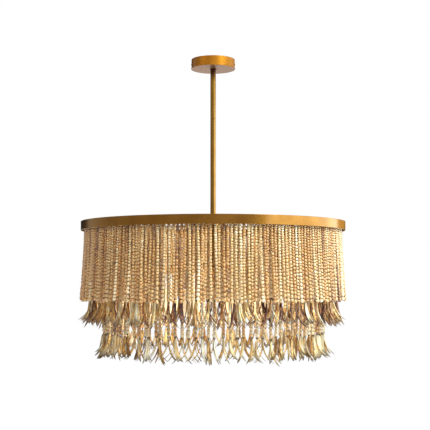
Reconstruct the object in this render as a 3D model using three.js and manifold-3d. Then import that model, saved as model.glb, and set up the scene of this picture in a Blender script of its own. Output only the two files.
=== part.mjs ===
// A rod-hung drum chandelier. A round canopy hides the ceiling bracket and a swivel that lets the
// fixture turn and hang straight. A two-piece rod carries a hub with four flat arms and a thin
// brass band. Three rings of bead strands hang under the arms: a plain outer curtain, and two
// longer inner ones that end in pairs of curved, pointed shell slivers. Six lamps hang inside.
// Millimetres, +Z up, origin at the centre of the ceiling face of the bracket.

import * as THREE from "three";
import { mergeVertices } from "three/addons/utils/BufferGeometryUtils.js";
import Module from "manifold-3d";

const wasm = await Module();
wasm.setup();

// Driving dimensions
const clearance = 0.3; // between two pieces that touch
const overrun = 2; // how far a joined or cutting shape runs past the face it meets
const drumDiameter = 762;
const canopyDiameter = 127;
const canopyHeight = 28;
const rodDiameter = 16;
const upperRodLength = 150;
const lowerRodLength = 303.7;
const quarters = 4; // arms, and curtain sections in each ring

// Round pieces are faceted alike where one seats in another
const fineSides = 16;
const smallSides = 10;
const lampSides = 10;
const bandSides = 64;

// Inscribed radius of a polygon whose corners lie at radius.
function flatRadius(radius, sides) {
  return radius * Math.cos(Math.PI / sides);
}

const brass = new THREE.MeshStandardMaterial({ color: 0xa8762a, roughness: 0.34, metalness: 1 });
const plated = new THREE.MeshStandardMaterial({ color: 0xb9bbb8, roughness: 0.45, metalness: 1 });
const groundGreen = new THREE.MeshStandardMaterial({ color: 0x2f7a3c, roughness: 0.4, metalness: 0.8 });
const woodBeads = new THREE.MeshStandardMaterial({ color: 0xc9a06a, roughness: 0.55, metalness: 0 });
const shellPieces = new THREE.MeshStandardMaterial({ color: 0xcdb083, roughness: 0.4, metalness: 0 });
const porcelain = new THREE.MeshStandardMaterial({ color: 0xe9e4d8, roughness: 0.35, metalness: 0 });
const frostedGlass = new THREE.MeshStandardMaterial({ color: 0xfff1d4, roughness: 0.3, metalness: 0 });

// A closed geometry as a solid that can be joined and cut.
function solidOf(geometry) {
  const bare = geometry.index ? geometry.toNonIndexed() : geometry.clone();
  bare.deleteAttribute("normal");
  bare.deleteAttribute("uv");
  const merged = mergeVertices(bare);
  return new wasm.Manifold(
    new wasm.Mesh({
      numProp: 3,
      vertProperties: merged.attributes.position.array,
      triVerts: new Uint32Array(merged.index.array),
    }),
  );
}

function geometryOf(solid) {
  const mesh = solid.getMesh();
  return new THREE.BufferGeometry()
    .setAttribute("position", new THREE.BufferAttribute(mesh.vertProperties, 3))
    .setIndex(new THREE.BufferAttribute(mesh.triVerts, 1));
}

function join(first, ...others) {
  return geometryOf(others.reduce((sum, next) => sum.add(solidOf(next)), solidOf(first)));
}

function cut(blank, ...tools) {
  return geometryOf(tools.reduce((left, tool) => left.subtract(solidOf(tool)), solidOf(blank)));
}

// A profile of [radius, height] pairs turned about the Z axis. It runs up the outside.
function turned(profile, sides) {
  const points = profile.map(([radius, height]) => new THREE.Vector2(radius, height));
  return new THREE.LatheGeometry(points, sides).rotateX(Math.PI / 2);
}

// A profile that closes on itself, for a piece with a bore.
function turnedRing(profile, sides) {
  return turned([...profile, profile[0]], sides);
}

function tube(outerRadius, innerRadius, length, sides) {
  return turnedRing(
    [
      [innerRadius, -length],
      [outerRadius, -length],
      [outerRadius, 0],
      [innerRadius, 0],
    ],
    sides,
  );
}

// A rod along X, centred on the origin.
function crossRod(radius, length, sides) {
  return new THREE.CylinderGeometry(radius, radius, length, sides).rotateZ(Math.PI / 2);
}

// An outline in the X-Z plane, made depth thick along Y and centred on Y = 0.
function plateAcross(outline, depth, curveSegments) {
  return new THREE.ExtrudeGeometry(outline, { depth, bevelEnabled: false, curveSegments })
    .rotateX(Math.PI / 2)
    .translate(0, depth / 2, 0);
}

function place(parent, name, geometry, material, height = 0) {
  const mesh = new THREE.Mesh(geometry, material);
  mesh.name = name;
  mesh.position.z = height;
  parent.add(mesh);
  return mesh;
}

// Canopy: a drawn brass cup with a fine proud lip round its lower edge
const canopyRadius = canopyDiameter / 2;
const canopyWall = 1.2;
const canopyLip = 1.1;
const canopyLipHeight = 1.6;
const canopySides = 40;
const canopyInnerRadius = canopyRadius - canopyWall;
const canopyScrewHeight = -canopyHeight * 0.5;
const canopyScrewRadius = 1.9;
const canopyScrewHeadRadius = 3;
const canopyScrewHeadHeight = 0.9;
const canopyScrewLength = 9;

// Swivel: the yoke turns on a flanged nipple, and the knuckle tilts in the yoke
const crossbarThickness = 2;
const crossbarWidth = 19;
const nippleRadius = 4.8;
const nippleBore = 3;
const nippleFlangeRadius = 7;
const nippleFlangeHeight = 1.5;
const locknutHeight = 2.4;
const locknutAcrossFlats = 14;
const yokePlateHeight = 3;
const yokeRadius = 10.6;
const earThickness = 2.6;
const earRadius = 5;
const pivotPinRadius = 2;
const pivotHeadHeight = 1;
const pivotDrop = 5.8; // from the nipple's flange to the pivot's axis
const tiltLimit = THREE.MathUtils.degToRad(5);
const shoulderHeight = 2;
const plugLength = 12;

const rodRadius = rodDiameter / 2;
const rodWall = 1.5;
const rodBore = rodRadius - rodWall;
const plugRadius = rodBore - clearance;

const yokeTop = -crossbarThickness - clearance - locknutHeight - clearance;
const yokeUnderside = yokeTop - yokePlateHeight;
const flangeUnderside = yokeUnderside - clearance - nippleFlangeHeight;
const pivotHeight = flangeUnderside - pivotDrop;
const earInnerFace = nippleFlangeRadius + clearance;
const tongueWidth = 2 * (earInnerFace - clearance);
const shoulderDrop = earRadius + rodRadius * Math.sin(tiltLimit) + clearance * 2;
const shoulderTop = pivotHeight - shoulderDrop;
const rodTop = shoulderTop - shoulderHeight - clearance;
const rodSwing = (canopyHeight + pivotHeight) * Math.sin(tiltLimit);
const canopyHoleRadius = (rodRadius + rodSwing + clearance * 2) / Math.cos(Math.PI / canopySides);

function canopyCover() {
  const floorTop = -canopyHeight + canopyWall;
  const cup = turnedRing(
    [
      [canopyHoleRadius, -canopyHeight],
      [canopyRadius + canopyLip, -canopyHeight],
      [canopyRadius + canopyLip, -canopyHeight + canopyLipHeight],
      [canopyRadius, -canopyHeight + canopyLipHeight + canopyLip],
      [canopyRadius, 0],
      [canopyInnerRadius, 0],
      [canopyInnerRadius, floorTop],
      [canopyHoleRadius, floorTop],
    ],
    canopySides,
  );
  const screwHoles = crossRod(canopyScrewRadius + clearance, canopyDiameter + overrun, smallSides);
  return cut(cup, screwHoles.translate(0, 0, canopyScrewHeight));
}

// Pressed strap that screws to the ceiling box; its bent ends take the canopy's side screws.
const crossbarReach =
  Math.sqrt(flatRadius(canopyInnerRadius, canopySides) ** 2 - (crossbarWidth / 2) ** 2) - clearance;
const crossbarTab = canopyHeight * 0.75;
const crossbarBend = 3;
const boxSlotWidth = 5.4;
const boxSlotLength = 15;
const boxSlotCentre = 39.5;
const groundScrewCentre = 22;
const groundScrewRadius = 2;
const groundHeadRadius = 3.8;
const groundHeadHeight = 2;

function crossbar() {
  const innerReach = crossbarReach - crossbarThickness;
  const outline = new THREE.Shape();
  outline.moveTo(-crossbarReach, -crossbarTab);
  outline.lineTo(-innerReach, -crossbarTab);
  outline.lineTo(-innerReach, -crossbarThickness);
  outline.lineTo(innerReach, -crossbarThickness);
  outline.lineTo(innerReach, -crossbarTab);
  outline.lineTo(crossbarReach, -crossbarTab);
  outline.lineTo(crossbarReach, -crossbarBend);
  outline.absarc(crossbarReach - crossbarBend, -crossbarBend, crossbarBend, 0, Math.PI / 2, false);
  outline.lineTo(-crossbarReach + crossbarBend, 0);
  outline.absarc(-crossbarReach + crossbarBend, -crossbarBend, crossbarBend, Math.PI / 2, Math.PI, false);
  const strap = plateAcross(outline, crossbarWidth, 3);

  const drill = (radius, x) =>
    new THREE.CylinderGeometry(radius, radius, 2 * (crossbarThickness + overrun), smallSides)
      .rotateX(Math.PI / 2)
      .translate(x, 0, -crossbarThickness / 2);
  const slot = (x) => {
    const half = boxSlotWidth / 2;
    const straight = boxSlotLength / 2 - half;
    const shape = new THREE.Shape();
    shape.absarc(straight, 0, half, -Math.PI / 2, Math.PI / 2, false);
    shape.absarc(-straight, 0, half, Math.PI / 2, Math.PI * 1.5, false);
    return new THREE.ExtrudeGeometry(shape, {
      depth: crossbarThickness + 2 * overrun,
      bevelEnabled: false,
      curveSegments: 5,
    }).translate(x, 0, -crossbarThickness - overrun);
  };
  const tabHoles = crossRod(canopyScrewRadius + clearance, canopyDiameter, smallSides);
  return cut(
    strap,
    drill(nippleRadius + clearance, 0),
    drill(groundScrewRadius + clearance, groundScrewCentre),
    slot(boxSlotCentre),
    slot(-boxSlotCentre),
    tabHoles.translate(0, 0, canopyScrewHeight),
  );
}

// A pan-head screw with its shank along +Z from the head's seat at the origin.
function panScrew(shankRadius, shankLength, headRadius, headHeight, sides) {
  return turned(
    [
      [0, -headHeight],
      [headRadius * 0.7, -headHeight],
      [headRadius, -headHeight * 0.45],
      [headRadius, 0],
      [shankRadius, 0],
      [shankRadius, shankLength],
      [0, shankLength],
    ],
    sides,
  );
}

function nipple() {
  const bottom = flangeUnderside;
  const flangeTop = bottom + nippleFlangeHeight;
  return turnedRing(
    [
      [nippleBore, bottom],
      [nippleFlangeRadius, bottom],
      [nippleFlangeRadius, flangeTop],
      [nippleRadius, flangeTop],
      [nippleRadius, -clearance],
      [nippleBore, -clearance],
    ],
    smallSides,
  );
}

function hexNut(acrossFlats, height, boreRadius) {
  const sides = 6;
  const cornerRadius = acrossFlats / 2 / Math.cos(Math.PI / sides);
  const blank = new THREE.CylinderGeometry(cornerRadius, cornerRadius, height, sides).rotateX(Math.PI / 2);
  const bore = new THREE.CylinderGeometry(boreRadius, boreRadius, height + overrun, smallSides);
  return cut(blank, bore.rotateX(Math.PI / 2));
}

// An ear or tongue: straight sides of the pivot's radius and one round end about the pivot.
function pivotPlate(thickness, reach, up, holeRadius) {
  const shape = new THREE.Shape();
  const start = up ? Math.PI : 0;
  shape.absarc(0, 0, earRadius, start, start + Math.PI, false);
  const end = up ? reach : -reach;
  shape.lineTo(up ? earRadius : -earRadius, end);
  shape.lineTo(up ? -earRadius : earRadius, end);
  const hole = new THREE.Path();
  hole.absarc(0, 0, holeRadius, 0, Math.PI * 2, false);
  shape.holes.push(hole);
  return plateAcross(shape, thickness, 6);
}

function yoke() {
  const plate = turnedRing(
    [
      [nippleRadius + clearance, yokeUnderside],
      [yokeRadius, yokeUnderside],
      [yokeRadius, yokeTop],
      [nippleRadius + clearance, yokeTop],
    ],
    smallSides,
  );
  const reach = yokeUnderside - pivotHeight + yokePlateHeight / 2;
  const ears = [-1, 1].map((side) =>
    pivotPlate(earThickness, reach, true, pivotPinRadius + clearance).translate(
      0,
      side * (earInnerFace + earThickness / 2),
      pivotHeight,
    ),
  );
  return join(plate, ...ears);
}

function pivotPin() {
  const halfLength = earInnerFace + earThickness + clearance;
  const headRadius = pivotPinRadius + 2 * clearance + pivotHeadHeight;
  return turned(
    [
      [0, -halfLength - pivotHeadHeight],
      [headRadius, -halfLength - pivotHeadHeight],
      [headRadius, -halfLength],
      [pivotPinRadius, -halfLength],
      [pivotPinRadius, halfLength],
      [headRadius, halfLength],
      [headRadius, halfLength + pivotHeadHeight],
      [0, halfLength + pivotHeadHeight],
    ],
    smallSides,
  ).rotateX(Math.PI / 2);
}

function knuckle() {
  const tongue = pivotPlate(tongueWidth, shoulderDrop + shoulderHeight / 2, false, pivotPinRadius + clearance);
  const plug = turned(
    [
      [0, -shoulderDrop - shoulderHeight - plugLength],
      [plugRadius, -shoulderDrop - shoulderHeight - plugLength],
      [plugRadius, -shoulderDrop - shoulderHeight],
      [rodRadius, -shoulderDrop - shoulderHeight],
      [rodRadius, -shoulderDrop],
      [0, -shoulderDrop],
    ],
    fineSides,
  );
  return join(plug, tongue);
}

// Rods: two brass tubes on hollow threaded couplings
const couplingLength = 2 * plugLength;
const couplingBore = 3.6;
const rodSeam = rodTop - upperRodLength;
const rodBottom = rodSeam - clearance - lowerRodLength;

// Drum frame: a hub with four slots, four flat arms and the band round them
const drumTop = rodBottom;
const bandHeight = 25.4;
const bandWall = 2;
const bandEdge = 0.5;
const drumRadius = drumDiameter / 2;
const bandInnerRadius = drumRadius - bandWall;
const hubRadius = 30;
const hubCollarRadius = 13;
const hubCollarHeight = 4;
const hubShoulder = 4;
const hubHeight = 26;
const hubSides = 20;
const armWidth = 18;
const armThickness = 5;
const armDrop = 10;
const armSeatDepth = 14;
const columnRadius = 6.5;
const columnBore = 5;
const columnLength = 104;
const columnSeatDepth = 10;

const hubTop = drumTop - clearance;
const armTop = hubTop - armDrop;
const armUnderside = armTop - armThickness;

function hub() {
  const seat = columnRadius + clearance;
  const body = turned(
    [
      [0, -hubHeight + columnSeatDepth + clearance],
      [seat, -hubHeight + columnSeatDepth + clearance],
      [seat, -hubHeight],
      [hubRadius - hubShoulder, -hubHeight],
      [hubRadius, -hubHeight + hubShoulder],
      [hubRadius, -hubCollarHeight - hubShoulder / 2],
      [hubRadius - hubShoulder / 2, -hubCollarHeight],
      [hubCollarRadius, -hubCollarHeight],
      [hubCollarRadius, 0],
      [plugRadius, 0],
      [plugRadius, plugLength],
      [0, plugLength],
    ],
    hubSides,
  );
  const slots = [0, 1, 2, 3].map((index) =>
    new THREE.BoxGeometry(armSeatDepth + overrun, armWidth + 2 * clearance, armThickness + 2 * clearance)
      .translate(hubRadius - armSeatDepth / 2 + overrun / 2, 0, -armDrop - armThickness / 2)
      .rotateZ((index * Math.PI * 2) / quarters),
  );
  return cut(body, ...slots);
}

// A flat arm along +X, from its seat in the hub to the inside of the band.
function frameArm() {
  const start = hubRadius - armSeatDepth + clearance;
  const end =
    Math.sqrt(flatRadius(bandInnerRadius, bandSides) ** 2 - (armWidth / 2) ** 2) - clearance;
  return new THREE.BoxGeometry(end - start, armWidth, armThickness).translate(
    (start + end) / 2,
    0,
    -armThickness / 2,
  );
}

function drumBand() {
  return turnedRing(
    [
      [bandInnerRadius, -bandHeight],
      [drumRadius - bandEdge, -bandHeight],
      [drumRadius, -bandHeight + bandEdge],
      [drumRadius, -bandEdge],
      [drumRadius - bandEdge, 0],
      [bandInnerRadius, 0],
    ],
    bandSides,
  );
}

// Curtains: strands of graduated beads on a drilled carrier strip under the arms
const carrierThickness = 3;
const carrierWidth = 14;
const carrierTop = armUnderside - clearance;
const carrierUnderside = carrierTop - carrierThickness;
const carrierArcSteps = 8;
const strandSides = 3;

// Each ring of strands. The inset is from the band's outside to the strands' centre lines, and the
// drop from the band's top to the last bead.
const outerCurtain = {
  inset: 13,
  pitch: 10.7,
  lean: 8.4, // how far the strands lean outwards on their way down
  topBead: 3.9,
  bottomBead: 5,
  drop: 225,
};
const middleCurtain = {
  inset: 30,
  pitch: 19.7,
  lean: 0,
  topBead: 3.6,
  bottomBead: 4.4,
  drop: 220,
};
const innerCurtain = {
  inset: 67,
  pitch: 19.7,
  lean: 0,
  topBead: 3.6,
  bottomBead: 4.4,
  drop: 315,
};

// Slivers: each inner strand ends in a pair. They stand edge-on to the drum's outside, hang straight
// at first and then curl apart like talons. One curls away from the axis too, and one towards it.
const sliverLength = 70;
const sliverWidth = 11;
const sliverThickness = 2.8;
const sliverMiddleShare = 0.45; // where a sliver is widest and starts to curl, down its length
const sliverMiddleLeanShare = 0.2; // of its point's lean, how much it has there
const sliverPairGap = 6.4; // between the two at the middle
const sliverTipSpread = 16.8; // between their points
const outwardSliverLean = 19;
const inwardSliverLean = -4;

// One quarter of a carrier strip: a flat arc from arm to arm, centred on its strands.
function carrierStrip(curtain) {
  const strandRadius = drumRadius - curtain.inset;
  const outerRadius = strandRadius + carrierWidth / 2;
  const innerRadius = strandRadius - carrierWidth / 2;
  const shape = new THREE.Shape();
  const turn = (Math.PI * 2) / quarters;
  const outerTrim = clearance / 2 / outerRadius;
  const innerTrim = clearance / 2 / innerRadius;
  shape.absarc(0, 0, outerRadius, outerTrim, turn - outerTrim, false);
  shape.absarc(0, 0, innerRadius, turn - innerTrim, innerTrim, true);
  return new THREE.ExtrudeGeometry(shape, {
    depth: carrierThickness,
    bevelEnabled: false,
    curveSegments: carrierArcSteps,
  }).translate(0, 0, carrierUnderside);
}

// One strand of a curtain, with its middle line in the X-Z plane: a three-sided run that grows
// with its beads and ends flat, or parts into two slivers.
function strand(curtain, hasSlivers) {
  const { inset, lean, topBead, bottomBead, drop } = curtain;
  const topRadius = drumRadius - inset;
  const bottomRadius = topRadius + lean;
  const points = [];
  const faces = [];
  const addPoint = (radial, across, height) => points.push([radial, across, height]) - 1;
  // A section that points outwards, seen from above in the order outer, left, right.
  const addRing = (radial, bead, height) =>
    Array.from({ length: strandSides }, (_, index) => {
      const angle = (index * Math.PI * 2) / strandSides;
      return addPoint(radial + bead * Math.cos(angle), bead * Math.sin(angle), height);
    });
  const bridge = (upper, lower) =>
    upper.forEach((corner, index) => {
      const next = (index + 1) % upper.length;
      faces.push(lower[index], lower[next], upper[next], lower[index], upper[next], corner);
    });
  const close = (ring, tip) =>
    ring.forEach((corner, index) => faces.push(tip, ring[(index + 1) % ring.length], corner));

  const knot = drumTop - drop;
  const topRing = addRing(topRadius, topBead, carrierUnderside + carrierThickness / 2);
  const knotRing = addRing(bottomRadius, bottomBead, knot);
  const [outer, left, right] = knotRing;
  faces.push(...topRing);
  bridge(topRing, knotRing);
  if (hasSlivers) {
    const crotch = addPoint(bottomRadius - bottomBead / 2, 0, knot - bottomBead);
    faces.push(right, left, crotch);
    const middleHeight = knot - sliverLength * sliverMiddleShare;
    for (const side of [1, -1]) {
      const leanOut = side > 0 ? outwardSliverLean : inwardSliverLean;
      const radial = bottomRadius + leanOut * sliverMiddleLeanShare;
      const across = (side * sliverPairGap) / 2;
      const front = addPoint(radial + sliverWidth / 2, across, middleHeight);
      const back = addPoint(radial - sliverWidth / 2, across, middleHeight);
      const belly = addPoint(radial, across + side * sliverThickness, middleHeight);
      const tipAcross = (side * sliverTipSpread) / 2;
      const root = side > 0 ? [outer, left, crotch] : [outer, crotch, right];
      const middle = side > 0 ? [front, belly, back] : [front, back, belly];
      bridge(root, middle);
      close(middle, addPoint(bottomRadius + leanOut, tipAcross, knot - sliverLength));
    }
  } else {
    faces.push(...knotRing.toReversed());
  }
  return new THREE.BufferGeometry()
    .setAttribute("position", new THREE.Float32BufferAttribute(points.flat(), 3))
    .setIndex(faces);
}

// A quarter of a curtain: the carrier strip with the strands, and any slivers, that hang on it.
function curtainQuarter(curtain, hasSlivers) {
  const turn = (Math.PI * 2) / quarters;
  const count = Math.round((turn * (drumRadius - curtain.inset)) / curtain.pitch);
  const hanging = Array.from({ length: count }, (_, index) =>
    strand(curtain, hasSlivers).rotateZ(((index + 0.5) * turn) / count),
  );
  return join(carrierStrip(curtain), ...hanging);
}

// Lamps: a turned body on a short column, with six arms, sockets and bulbs
const lampCount = 6;
const bodyRadius = 30;
const bodyHeight = 30;
const bodyNeckRadius = 12;
const bodyShoulder = 6;
const lampArmRadius = 5;
const lampArmReach = 130;
const lampArmBend = 22;
const lampArmFall = 34;
const lampArmSeat = 10;
const lampArmSides = 6;
const lampArmSteps = 7;
const socketRadius = 17;
const socketBore = 13.6;
const socketNeckRadius = 9;
const socketShoulder = 9;
const socketFloor = 17; // thickness above the bore
const socketLength = 44;
const bulbBaseRadius = socketBore - clearance;
const bulbContactRadius = 5;
const bulbNeckRadius = 14;
const bulbRadius = 30;
const bulbLength = 104;
const finialRadius = 9;
const finialSpigotRadius = 4;
const finialSpigotLength = 8;

const columnTop = hubTop - hubHeight + columnSeatDepth;
const bodyTop = columnTop - columnLength + columnSeatDepth;
const lampArmHeight = bodyTop - bodyHeight / 2;
const socketTop = lampArmHeight - lampArmFall + lampArmSeat;
const lampArmBore = (lampArmRadius + clearance) / Math.cos(Math.PI / lampArmSides);

function lampBody() {
  const seat = columnRadius + clearance;
  const spigotSeat = finialSpigotRadius + clearance;
  const spigotTop = -bodyHeight + finialSpigotLength + clearance;
  const blank = turned(
    [
      [0, spigotTop],
      [spigotSeat, spigotTop],
      [spigotSeat, -bodyHeight],
      [bodyRadius - bodyShoulder, -bodyHeight],
      [bodyRadius, -bodyHeight + bodyShoulder],
      [bodyRadius, -bodyShoulder],
      [bodyNeckRadius, 0],
      [seat, 0],
      [seat, -columnSeatDepth - clearance],
      [0, -columnSeatDepth - clearance],
    ],
    hubSides,
  );
  const bores = Array.from({ length: lampCount }, (_, index) =>
    crossRod(lampArmBore, lampArmSeat + overrun, lampArmSides)
      .translate(bodyRadius - lampArmSeat / 2 + overrun / 2, 0, -bodyHeight / 2)
      .rotateZ((index * Math.PI * 2) / lampCount),
  );
  return cut(blank, ...bores);
}

// A brass arm: straight out of the body, round a quarter bend and down into the socket's neck.
function lampArm() {
  const start = bodyRadius - lampArmSeat + clearance;
  const bendStart = new THREE.Vector3(lampArmReach - lampArmBend, 0, 0);
  const corner = new THREE.Vector3(lampArmReach, 0, 0);
  const bendEnd = new THREE.Vector3(lampArmReach, 0, -lampArmBend);
  const path = new THREE.CurvePath();
  path.add(new THREE.LineCurve3(new THREE.Vector3(start, 0, 0), bendStart));
  path.add(new THREE.QuadraticBezierCurve3(bendStart, corner, bendEnd));
  path.add(new THREE.LineCurve3(bendEnd, new THREE.Vector3(lampArmReach, 0, -lampArmFall)));
  const section = new THREE.Shape();
  for (let index = 0; index < lampArmSides; index++) {
    const angle = ((index + 0.5) * Math.PI * 2) / lampArmSides;
    const point = [lampArmRadius * Math.cos(angle), lampArmRadius * Math.sin(angle)];
    if (index) section.lineTo(...point);
    else section.moveTo(...point);
  }
  return new THREE.ExtrudeGeometry(section, { steps: lampArmSteps, extrudePath: path, bevelEnabled: false });
}

function socket() {
  const neckBore = (lampArmRadius + clearance) / Math.cos(Math.PI / lampSides);
  return turnedRing(
    [
      [socketBore, -socketLength],
      [socketRadius, -socketLength],
      [socketRadius, -socketShoulder],
      [socketNeckRadius, 0],
      [neckBore, 0],
      [neckBore, -socketFloor],
      [socketBore, -socketFloor],
    ],
    lampSides,
  );
}

// A bulb, cap up: contact, screw cap, neck, then a globe. The flank is a cosine blend.
function bulb() {
  const capTop = -socketFloor - clearance;
  const tip = capTop - bulbLength;
  const globeCentre = tip + bulbRadius;
  const neckHeight = -socketLength - clearance;
  const profile = [[0, tip]];
  const globeSteps = 3;
  for (let step = 1; step <= globeSteps; step++) {
    const angle = (step / globeSteps) * (Math.PI / 2);
    profile.push([bulbRadius * Math.sin(angle), globeCentre - bulbRadius * Math.cos(angle)]);
  }
  const flankSteps = 2;
  for (let step = 1; step <= flankSteps; step++) {
    const share = step / flankSteps;
    const blend = (1 + Math.cos(Math.PI * share)) / 2;
    profile.push([
      bulbNeckRadius + (bulbRadius - bulbNeckRadius) * blend,
      globeCentre + (neckHeight - globeCentre) * share,
    ]);
  }
  profile.push([bulbBaseRadius, neckHeight + clearance]);
  profile.push([bulbBaseRadius, capTop - bulbContactRadius]);
  profile.push([bulbContactRadius, capTop]);
  profile.push([0, capTop]);
  return turned(profile, lampSides);
}

function finial() {
  return turned(
    [
      [0, -3 * finialRadius],
      [finialRadius / 2, -2.8 * finialRadius],
      [finialRadius, -2 * finialRadius],
      [finialRadius / 2, -1.1 * finialRadius],
      [finialRadius, -finialRadius / 3],
      [finialRadius, 0],
      [finialSpigotRadius, 0],
      [finialSpigotRadius, finialSpigotLength],
      [0, finialSpigotLength],
    ],
    smallSides,
  );
}

// What is fixed to the ceiling
const ceilingGroup = new THREE.Group();
place(ceilingGroup, "ceiling_crossbar", crossbar(), plated);
place(ceilingGroup, "canopy_cover", canopyCover(), brass);
place(ceilingGroup, "swivel_nipple", nipple(), plated);
const locknutCentre = -crossbarThickness - clearance - locknutHeight / 2;
const locknut = hexNut(locknutAcrossFlats, locknutHeight, nippleRadius + clearance);
place(ceilingGroup, "nipple_locknut", locknut, plated, locknutCentre);
const groundScrew = panScrew(
  groundScrewRadius,
  crossbarThickness,
  groundHeadRadius,
  groundHeadHeight,
  smallSides,
);
place(ceilingGroup, "ground_screw", groundScrew, groundGreen, -crossbarThickness - clearance).position.x =
  groundScrewCentre;
for (const [name, side] of [["canopy_screw_left", -1], ["canopy_screw_right", 1]]) {
  const screw = panScrew(
    canopyScrewRadius,
    canopyScrewLength,
    canopyScrewHeadRadius,
    canopyScrewHeadHeight,
    smallSides,
  );
  const mesh = place(ceilingGroup, name, screw, brass, canopyScrewHeight);
  mesh.rotation.y = (-side * Math.PI) / 2;
  mesh.position.x = side * (canopyRadius + clearance);
}

// What turns on the nipple
const yokeGroup = new THREE.Group();
place(yokeGroup, "swivel_yoke", yoke(), plated);
place(yokeGroup, "swivel_pivot_pin", pivotPin(), plated, pivotHeight);

// What hangs from the pivot
const hangingGroup = new THREE.Group();
place(hangingGroup, "swivel_knuckle", knuckle(), brass, pivotHeight);
place(hangingGroup, "rod_upper", tube(rodRadius, rodBore, upperRodLength, fineSides), brass, rodTop);
const coupling = tube(plugRadius, couplingBore, couplingLength, fineSides);
place(hangingGroup, "rod_coupling", coupling, plated, rodSeam + couplingLength / 2);
place(hangingGroup, "rod_lower", tube(rodRadius, rodBore, lowerRodLength, fineSides), brass, rodSeam - clearance);
place(hangingGroup, "drum_hub", hub(), brass, hubTop);
place(hangingGroup, "drum_band", drumBand(), brass, drumTop);
place(hangingGroup, "lamp_column", tube(columnRadius, columnBore, columnLength, hubSides), brass, columnTop);
place(hangingGroup, "lamp_body", lampBody(), brass, bodyTop);
place(hangingGroup, "finial", finial(), brass, bodyTop - bodyHeight - clearance);

const curtainRings = [
  ["outer_bead_curtain", outerCurtain, false, woodBeads],
  ["middle_fringe_curtain", middleCurtain, true, shellPieces],
  ["inner_fringe_curtain", innerCurtain, true, shellPieces],
];
for (let quarter = 0; quarter < quarters; quarter++) {
  const turn = (quarter * Math.PI * 2) / quarters;
  const armGroup = new THREE.Group();
  armGroup.rotation.z = turn;
  place(armGroup, `drum_arm_${quarter + 1}`, frameArm(), brass, armTop);
  for (const [name, curtain, hasSlivers, material] of curtainRings) {
    place(armGroup, `${name}_${quarter + 1}`, curtainQuarter(curtain, hasSlivers), material);
  }
  hangingGroup.add(armGroup);
}

for (let index = 0; index < lampCount; index++) {
  const lampGroup = new THREE.Group();
  lampGroup.rotation.z = (index * Math.PI * 2) / lampCount;
  place(lampGroup, `lamp_arm_${index + 1}`, lampArm(), brass, lampArmHeight);
  place(lampGroup, `lamp_socket_${index + 1}`, socket(), porcelain, socketTop).position.x = lampArmReach;
  place(lampGroup, `bulb_${index + 1}`, bulb(), frostedGlass, socketTop).position.x = lampArmReach;
  hangingGroup.add(lampGroup);
}

const chandelier = new THREE.Group();
chandelier.add(ceilingGroup, yokeGroup, hangingGroup);
export default chandelier;
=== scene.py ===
import math

import bpy
import bmesh
import numpy as np
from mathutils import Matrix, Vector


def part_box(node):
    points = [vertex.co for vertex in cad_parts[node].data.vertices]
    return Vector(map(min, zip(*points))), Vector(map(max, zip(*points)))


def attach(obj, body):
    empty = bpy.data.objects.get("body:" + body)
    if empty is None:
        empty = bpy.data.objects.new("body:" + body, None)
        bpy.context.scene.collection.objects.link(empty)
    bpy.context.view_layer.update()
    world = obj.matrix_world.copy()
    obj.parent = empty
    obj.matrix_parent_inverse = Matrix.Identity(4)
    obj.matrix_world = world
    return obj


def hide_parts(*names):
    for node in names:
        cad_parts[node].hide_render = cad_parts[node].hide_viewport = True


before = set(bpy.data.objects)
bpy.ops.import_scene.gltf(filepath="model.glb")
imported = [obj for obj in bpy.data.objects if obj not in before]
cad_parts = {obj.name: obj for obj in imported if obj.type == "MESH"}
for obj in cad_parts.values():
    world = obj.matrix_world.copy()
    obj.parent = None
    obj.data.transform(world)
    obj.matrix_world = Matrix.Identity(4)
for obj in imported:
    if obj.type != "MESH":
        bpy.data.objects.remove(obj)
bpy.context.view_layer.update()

# Camera
# A long lens a little above the fringe's height, which looks up at the drum's underside and at the
# canopy. The picture is taken to be 430 pixels wide.
PICTURE_WIDTH = 430
FOCAL_PIXELS = 1000
AXIS_PIXEL = 213.1  # where the rod's axis stands in the picture
SENSOR_MILLIMETRES = 36
CAMERA_DISTANCE = 2.9
EYE_HEIGHT = -0.649
PITCH = math.radians(3.8)
VIEW_DEPTH = 60

camera = bpy.data.objects.new("camera", bpy.data.cameras.new("camera"))
bpy.context.scene.collection.objects.link(camera)
camera.data.sensor_width = SENSOR_MILLIMETRES
camera.data.lens = SENSOR_MILLIMETRES * FOCAL_PIXELS / PICTURE_WIDTH
camera.data.clip_end = VIEW_DEPTH
side_step = (PICTURE_WIDTH / 2 - AXIS_PIXEL) * CAMERA_DISTANCE / FOCAL_PIXELS
camera.location = (side_step, -CAMERA_DISTANCE, EYE_HEIGHT)
camera.rotation_euler = (math.pi / 2 + PITCH, 0, 0)
bpy.context.scene.camera = camera


# Ceiling hardware
# A pressed steel crossbar, the hollow nipple with its nut, the hang-straight yoke and its pin, all
# zinc plated, and a green ground screw. They are the CAD solids, hidden by the canopy.
def put_in(node, inputs):
    """Puts values, or the outputs of other nodes, into a node's sockets."""
    for socket, value in inputs.items():
        if isinstance(value, bpy.types.NodeSocket):
            node.id_data.links.new(value, node.inputs[socket])
        else:
            node.inputs[socket].default_value = value


def add_node(tree, kind, inputs=None, **settings):
    """A shader node of that kind, with its settings and with its inputs put in."""
    node = tree.nodes.new("ShaderNode" + kind)
    for key, value in settings.items():
        setattr(node, key, value)
    put_in(node, inputs or {})
    return node


def new_material(name, colour, roughness):
    """A Principled material of one colour and roughness, with its node tree and its shader."""
    material = bpy.data.materials.new(name)
    material.use_nodes = True
    tree = material.node_tree
    shader = tree.nodes["Principled BSDF"]
    put_in(shader, {"Base Color": (*colour, 1), "Roughness": roughness})
    return material, tree, shader


def object_place(tree):
    """The place of each point on the object, in metres."""
    return add_node(tree, "TexCoord").outputs["Object"]


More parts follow.
